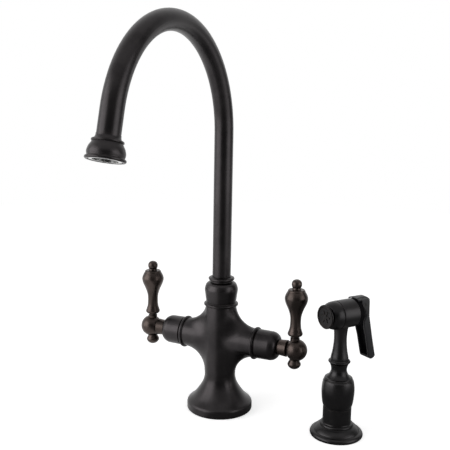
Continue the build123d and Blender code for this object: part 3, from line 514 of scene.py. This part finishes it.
@dataclass
class FinishRack:
    """Every finish of the faucet, made once and handed out."""

    finishes: tuple[Finish, ...] = (
        RubbedBronze(Look.BRONZE),
        RubbedBronze(Look.BRONZE_HANDLE, deep=(0.054, 0.044, 0.040), warm=(0.086, 0.067, 0.060)),
        RubbedBronze(Look.BRONZE_SPRAYER, deep=(0.031, 0.030, 0.031), warm=(0.045, 0.043, 0.044),
                     rub=0.25),
        RubbedBronze(Look.BRONZE_FACE, deep=(0.024, 0.024, 0.025), warm=(0.036, 0.035, 0.036),
                     rub=0.9),
        MachinedMetal(Look.BRASS),
        MachinedMetal(Look.STEEL, bright=(0.62, 0.62, 0.61), dull=(0.50, 0.50, 0.50), rough=0.22),
        MachinedMetal(Look.BLACKENED, bright=(0.050, 0.048, 0.047), dull=(0.030, 0.030, 0.030),
                      rough=0.34),
        Moulded(Look.RUBBER, colour=(0.020, 0.020, 0.020), shade=(0.028, 0.027, 0.026), rough=0.62,
                grain_scale=900.0),
        Lapped(Look.CERAMIC),
        Moulded(Look.BLACK_PLASTIC, colour=(0.018, 0.018, 0.020), shade=(0.013, 0.013, 0.015),
                rough=0.36),
        Moulded(Look.TRIGGER_BLACK, colour=(0.006, 0.006, 0.008), shade=(0.004, 0.004, 0.005),
                rough=0.34, gloss=0.42, rounding=2.6),
        # cap colour far darker than the black plastic: partly the cap's own black, partly painted
        # shade from the trigger over it
        Moulded(Look.CAP_BLACK, colour=(0.003, 0.003, 0.004), shade=(0.002, 0.002, 0.002),
                rough=0.60, gloss=0.04),
        Moulded(Look.WHITE_PLASTIC, colour=(0.75, 0.75, 0.72), shade=(0.68, 0.68, 0.65),
                rough=0.34),
    )
    made: dict[Look, bpy.types.Material] = field(default_factory=dict)

    def get(self, look: Look) -> bpy.types.Material:
        """Give a finish's material, and make it the first time.

        Args:
            look: the finish.

        Returns:
            Its material.
        """
        if look not in self.made:
            self.made[look] = next(f for f in self.finishes if f.look is look).make()
        return self.made[look]


# ---- sub-assemblies, with sizes in millimetres ----------------------------------------------
@dataclass
class SubAssembly:
    """A group of pieces that is built and dressed together."""

    rack: FinishRack

    def dress(self, look: Look, *nodes: str) -> None:
        """Put a finish on CAD nodes.

        Args:
            look: the finish.
            *nodes: names of the nodes.
        """
        for node in nodes:
            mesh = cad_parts[node].data
            mesh.materials.clear()
            mesh.materials.append(self.rack.get(look))
            log.info("%s: %s", node, look.value)

    def build(self) -> None:
        """Build the new pieces and dress the others."""
        raise NotImplementedError


@dataclass
class CrossBody(SubAssembly):
    """Cast body with its seal and the collar on its neck."""

    def build(self) -> None:
        """Dress the casting, its seal and the nut that holds the spout."""
        self.dress(Look.BRONZE, "faucet_body", "spout_collar")
        self.dress(Look.RUBBER, "base_gasket")


@dataclass
class ValveArm(SubAssembly):
    """Bead, bonnet and quarter turn valve at the end of one arm."""

    side: Side

    def build(self) -> None:
        """Dress the arm's outer pieces and its valve."""
        name = self.side.value
        self.dress(Look.BRONZE, f"arm_ring_{name}", f"bonnet_{name}")
        self.dress(Look.BRASS, f"cartridge_{name}", f"stem_{name}")
        self.dress(Look.RUBBER, f"seat_seal_{name}", f"stem_orings_{name}")
        self.dress(Look.CERAMIC, f"fixed_disc_{name}", f"moving_disc_{name}")


@dataclass
class LeverHandle(SubAssembly):
    """Hub, baluster lever and finials of one handle."""

    side: Side

    def build(self) -> None:
        """Dress the handle."""
        name = self.side.value
        self.dress(Look.BRONZE_HANDLE, f"hub_{name}", f"lever_{name}", f"lever_finial_{name}",
                   f"hub_finial_{name}")
        self.dress(Look.STEEL, f"set_screw_{name}")


@dataclass
class Diverter(SubAssembly):
    """Cage, piston and spring that send the water to the sprayer."""

    lift: float = 3.0
    weld: float = 0.001
    sharp: float = 50.0

    def build(self) -> None:
        """Dress the diverter and give it a welded, smooth copy of its spring in place of the CAD
        coil.
        """
        self.dress(Look.WHITE_PLASTIC, "diverter_housing", "diverter_piston")
        self.dress(Look.STEEL, "diverter_spring")
        spring = self.live_spring()
        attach(spring, "faucet")
        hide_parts("diverter_spring")
        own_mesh(spring)
        log.info("%s: %s", spring.name, Look.STEEL.value)

    def live_spring(self) -> bpy.types.Object:
        """Copy the coil as one welded skin.

        Returns:
            The copy.
        """
        coil = bmesh.new()
        coil.from_mesh(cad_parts["diverter_spring"].data)
        bmesh.ops.remove_doubles(coil, verts=coil.verts, dist=self.weld * MM)
        bmesh.ops.recalc_face_normals(coil, faces=coil.faces)
        for face in coil.faces:
            face.smooth = True
        mesh = bpy.data.meshes.new("live_spring")
        coil.to_mesh(mesh)
        coil.free()
        mesh.materials.append(self.rack.get(Look.STEEL))
        mesh.set_sharp_from_angle(angle=math.radians(self.sharp))
        spring = bpy.data.objects.new("live_spring", mesh)
        bpy.context.scene.collection.objects.link(spring)
        return spring


@dataclass
class Gooseneck(SubAssembly):
    """Bent tube, its swivel and its outlet."""

    def build(self) -> None:
        """Dress the spout from its swivel to its outlet."""
        self.dress(Look.BRONZE, "spout_tube", "outlet_bell")
        self.dress(Look.BRASS, "spout_adapter")
        self.dress(Look.RUBBER, "spout_orings", "aerator_washer")
        self.dress(Look.WHITE_PLASTIC, "slip_washer", "friction_bushing", "flow_disc")
        self.dress(Look.STEEL, "aerator_housing")
        self.dress(Look.BLACK_PLASTIC, "aerator_screen")


@dataclass
class SprayHolder(SubAssembly):
    """Deck holder of the side sprayer."""

    def build(self) -> None:
        """Dress the holder."""
        self.dress(Look.BRONZE_SPRAYER, "holder")
        self.dress(Look.RUBBER, "holder_gasket")
        self.dress(Look.BLACK_PLASTIC, "holder_liner")


@dataclass
class HandSprayer(SubAssembly):
    """Grip, neck and head of the side sprayer with its thumb lever and valve."""

    def build(self) -> None:
        """Dress the sprayer."""
        self.dress(Look.BRONZE_SPRAYER, "grip", "grip_ferrule", "sprayer_neck", "head_body",
                   "nozzle_ring")
        self.dress(Look.BRONZE_FACE, "spray_face")
        # the cap's finish holds painted shade from the trigger as well as its black colour
        self.dress(Look.CAP_BLACK, "valve_cap")
        self.dress(Look.TRIGGER_BLACK, "trigger")
        self.dress(Look.STEEL, "plunger_spring")
        self.dress(Look.BLACKENED, "trigger_pin")
        self.dress(Look.BRASS, "valve_plunger", "hose_coupling")
        self.dress(Look.RUBBER, "plunger_seal", "coupling_washer")


# ---- studio, with lengths in metres unless it says otherwise --------------------------------
@dataclass(frozen=True)
class View:
    """Where the camera stands: angles in degrees, the foot's place in the picture in pixels."""

    azimuth: float = 25.331
    pitch: float = 10.019
    roll: float = 1.002
    focal_pixels: float = 725.0
    distance_mm: float = 817.447
    foot_across: float = 219.4
    foot_down: float = 406.2
    picture_pixels: float = 450.0
    sensor_mm: float = 36.0
    nearest: float = 0.01
    farthest: float = 50.0
    beyond_lean: float = 0.36

    @property
    def right(self) -> Vector:
        """Level direction to the camera's right."""
        turn = math.radians(self.azimuth)
        return Vector((math.cos(turn), math.sin(turn), 0.0))

    @property
    def ahead(self) -> Vector:
        """Level direction in which the camera looks."""
        turn = math.radians(self.azimuth)
        return Vector((-math.sin(turn), math.cos(turn), 0.0))

    @property
    def beyond(self) -> Vector:
        """Level direction of the white room behind the object, a little to the left."""
        return (self.ahead - self.beyond_lean * self.right).normalized()

    @property
    def forward(self) -> Vector:
        """Direction in which the camera looks."""
        dip = math.radians(self.pitch)
        return self.ahead * math.cos(dip) - UP * math.sin(dip)

    def place(self) -> Matrix:
        """Work out the camera's place so that the foot's centre falls on its pixel.

        Returns:
            The camera's matrix.
        """
        lean = math.radians(self.roll)
        up = self.right.cross(self.forward)
        across = math.cos(lean) * self.right + math.sin(lean) * up
        upward = -math.sin(lean) * self.right + math.cos(lean) * up
        middle = self.picture_pixels / 2
        aside = (self.foot_across - middle) / self.focal_pixels * self.distance_mm
        down = (self.foot_down - middle) / self.focal_pixels * self.distance_mm
        spot = -(self.distance_mm * self.forward + aside * across - down * upward) * MM
        turn = Matrix((across, upward, -self.forward)).transposed().to_4x4()
        return Matrix.Translation(spot) @ turn

    def stand(self) -> bpy.types.Object:
        """Build the camera in its place.

        Returns:
            The camera.
        """
        lens = bpy.data.cameras.new("camera")
        lens.sensor_width = self.sensor_mm
        lens.lens = self.focal_pixels / self.picture_pixels * self.sensor_mm
        lens.clip_start, lens.clip_end = self.nearest, self.farthest
        camera = bpy.data.objects.new("camera", lens)
        camera.matrix_world = self.place()
        bpy.context.scene.collection.objects.link(camera)
        bpy.context.scene.camera = camera
        return camera


@dataclass(frozen=True)
class SoftBox:
    """One soft box: angle from the camera in degrees, size, height of its middle, radiance."""

    angle: float
    width: float
    height: float
    middle: float
    radiance: float
    distance: float = 1.7

    @property
    def power(self) -> float:
        """Power of the lamp that gives the radiance."""
        return self.radiance * math.pi * self.width * self.height

    def hang(self, view: View) -> None:
        """Hang the box round the object, facing its axis.

        Args:
            view: the camera's view, whose direction is zero.
        """
        lamp = bpy.data.lights.new("soft_box", "AREA")
        lamp.shape = "RECTANGLE"
        lamp.size, lamp.size_y = self.width, self.height
        lamp.energy = self.power
        angle = math.radians(self.angle)
        away = -view.ahead * math.cos(angle) + view.right * math.sin(angle)
        holder = bpy.data.objects.new("soft_box", lamp)
        holder.location = away * self.distance + UP * self.middle
        holder.rotation_mode = "QUATERNION"
        holder.rotation_quaternion = away.to_track_quat("Z", "Y")
        bpy.context.scene.collection.objects.link(holder)


@dataclass(frozen=True)
class Paper:
    """White sheet under the object; in reflections it has painted light behind and at both sides,
    and painted shade on the camera's side.
    """

    view: View
    radius: float = 1.6
    segments: int = 96
    glow: float = 0.60
    lit: Colour = (0.86, 0.86, 0.86)
    # painted shade: a darker copy of the sheet's colour, seen only in reflections
    painted_shade: Colour = (0.33, 0.33, 0.33)
    # how far a place lies that way, and how much painted light it then has in reflections
    behind: Span = Span(0.1, 0.6, to_high=0.9, ramp=Ramp.SMOOTH)
    left: Span = Span(0.35, 0.65, to_high=0.8, ramp=Ramp.SMOOTH)
    right: Span = Span(0.32, 0.80, to_high=0.85, ramp=Ramp.SMOOTH)

    def build(self) -> bpy.types.Object:
        """Lay the round sheet under the object.

        Returns:
            The sheet.
        """
        shape = bmesh.new()
        bmesh.ops.create_circle(shape, cap_ends=True, cap_tris=False, segments=self.segments,
                                radius=self.radius)
        mesh = bpy.data.meshes.new("floor")
        shape.to_mesh(mesh)
        shape.free()
        mesh.materials.append(self.material())
        floor = bpy.data.objects.new("floor", mesh)
        bpy.context.scene.collection.objects.link(floor)
        return floor

    def painted_light_share(self, mix: Recipe) -> Socket:
        """Say how much painted light each place of the sheet has when the metal mirrors it.

        Args:
            mix: the paper's recipe.

        Returns:
            The painted light, from zero to one.
        """
        way = mix.add("ShaderNodeVectorMath", operation="NORMALIZE")
        mix.put(way.inputs[0], mix.place)
        turned = way.outputs["Vector"]
        behind = mix.spread(mix.along(turned, self.view.beyond), self.behind)
        left = mix.spread(mix.along(turned, -self.view.right), self.left)
        right = mix.spread(mix.along(mix.place, self.view.right), self.right)
        return mix.combine(Sum.GREATER, mix.combine(Sum.GREATER, behind, left), right)

    def material(self) -> bpy.types.Material:
        """Make the paper, which keeps the object's shadow; in reflections it gets painted light
        and painted shade by place.

        Returns:
            The material.
        """
        mix = Recipe("paper")
        rays = mix.add("ShaderNodeLightPath").outputs
        # bright is the painted light that the sheet shows in reflections
        bright = self.painted_light_share(mix)
        mirrored = mix.combine(Sum.TIMES, rays["Is Glossy Ray"], bright)
        painted_shade = mix.combine(Sum.MINUS, rays["Is Glossy Ray"], bright)
        sheet = mix.feed(mix.add("ShaderNodeBsdfDiffuse"),
                         Color=mix.blend(painted_shade, self.lit, self.painted_shade))
        seen = mix.combine(Sum.GREATER, rays["Is Camera Ray"], rays["Is Transmission Ray"])
        seen = mix.combine(Sum.GREATER, seen, mirrored)
        # white glow for camera rays, plus painted light that glows in reflections where the sheet
        # is bright
        glow = mix.feed(mix.add("ShaderNodeEmission"), Color=WHITE,
                        Strength=mix.combine(Sum.TIMES, seen, self.glow))
        both = mix.add("ShaderNodeAddShader")
        mix.put(both.inputs[0], sheet.outputs["BSDF"])
        mix.put(both.inputs[1], glow.outputs["Emission"])
        mix.close(both.outputs["Shader"])
        return mix.material


@dataclass(frozen=True)
class Room:
    """White room; mirrored, it is dark on the camera's side and bright behind and above."""

    view: View
    light: float = 0.42
    # how far a direction points that way, and how bright the room then is
    walls: Span = Span(-0.55, 0.10, 1.0, 0.09, Ramp.SMOOTH)
    ceiling: Span = Span(0.30, 0.85, to_high=0.62, ramp=Ramp.SMOOTH)

    def build(self) -> None:
        """Make the room's light; seen directly the room is plain white."""
        world = bpy.data.worlds.new("room")
        bpy.context.scene.world = world
        world.use_nodes = True
        room = Wiring(world.node_tree, "ShaderNodeOutputWorld", "Generated")
        rays = room.add("ShaderNodeLightPath").outputs
        walls = room.spread(room.along(room.place, -self.view.beyond), self.walls)
        ceiling = room.spread(room.along(room.place, UP), self.ceiling)
        brightest = room.combine(Sum.GREATER, walls, ceiling)
        mirrored = room.share(rays["Is Glossy Ray"], self.light, brightest)
        seen = room.combine(Sum.GREATER, rays["Is Camera Ray"], rays["Is Transmission Ray"])
        light = room.feed(room.add("ShaderNodeBackground"), Color=WHITE,
                          Strength=room.share(seen, mirrored, 1.0))
        room.close(light.outputs["Background"])


@dataclass
class Studio:
    """White sheet in a white room, two tall soft boxes and the camera."""

    view: View = field(default_factory=View)
    boxes: tuple[SoftBox, ...] = (
        SoftBox(angle=-68.0, width=1.8, height=2.4, middle=0.30, radiance=2.7),
        SoftBox(angle=63.0, width=1.3, height=1.3, middle=0.55, radiance=1.9),
    )

    def build(self) -> None:
        """Set up the room, the soft boxes, the sheet and the camera."""
        Room(self.view).build()
        for box in self.boxes:
            box.hang(self.view)
        Paper(self.view).build()
        self.view.stand()
        bpy.context.scene.view_settings.view_transform = "Standard"


def main() -> None:
    """Build and dress every sub-assembly, then the studio."""
    logging.basicConfig(level=logging.INFO, format="%(message)s")
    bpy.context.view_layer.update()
    rack = FinishRack()
    groups: list[SubAssembly] = [CrossBody(rack)]
    for side in Side:
        groups += [ValveArm(rack, side), LeverHandle(rack, side)]
    groups += [Diverter(rack), Gooseneck(rack), SprayHolder(rack), HandSprayer(rack)]
    for group in groups:
        group.build()
        log.info("%s done", type(group).__name__)
    Studio().build()


if __name__ == "__main__":
    main()
